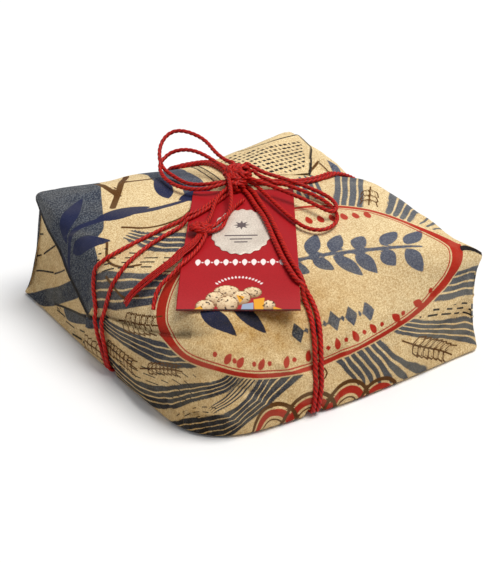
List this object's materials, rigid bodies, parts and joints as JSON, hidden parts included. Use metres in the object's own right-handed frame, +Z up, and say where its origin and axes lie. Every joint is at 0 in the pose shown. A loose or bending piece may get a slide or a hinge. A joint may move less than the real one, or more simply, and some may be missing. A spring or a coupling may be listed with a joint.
{
  "type": "wrapped colomba easter bread",
  "caption": "Boxy parcel of folded kraft paper round an Easter dove loaf, tied crosswise with red twisted cord in a bow, with a red card tag on top.",
  "frame": {"origin": "centre of the parcel's footprint, on the surface it rests on; the free bow loops and cord ends aren't counted", "axes": "+Z up, +X to the right along the front side, +Y to the back; the front side is the one with the print's oval panel, at -Y"},
  "size_m": [0.3172, 0.3363, 0.1443],
  "materials": {
    "kraft_paper": "matt printed kraft paper",
    "red_cord": "waxed twisted cord",
    "red_card": "satin printed card",
    "silver_seal": "soft metallic paper"
  },
  "bodies": {
    "root": {"paper_wrap": "kraft_paper", "tag_card": "red_card", "tag_seal": "silver_seal", "main_knot": "red_cord", "small_knot": "red_cord", "side_cord_1": "red_cord", "side_cord_2": "red_cord", "front_cord_1": "red_cord", "front_cord_2": "red_cord", "tag_string": "red_cord", "tail_1": "red_cord", "tail_2": "red_cord", "frayed_end": "red_cord", "thin_end": "red_cord", "left_loop_1": "red_cord", "left_loop_2": "red_cord", "right_loop_1": "red_cord", "right_loop_2": "red_cord"}
  },
  "joints": []
}
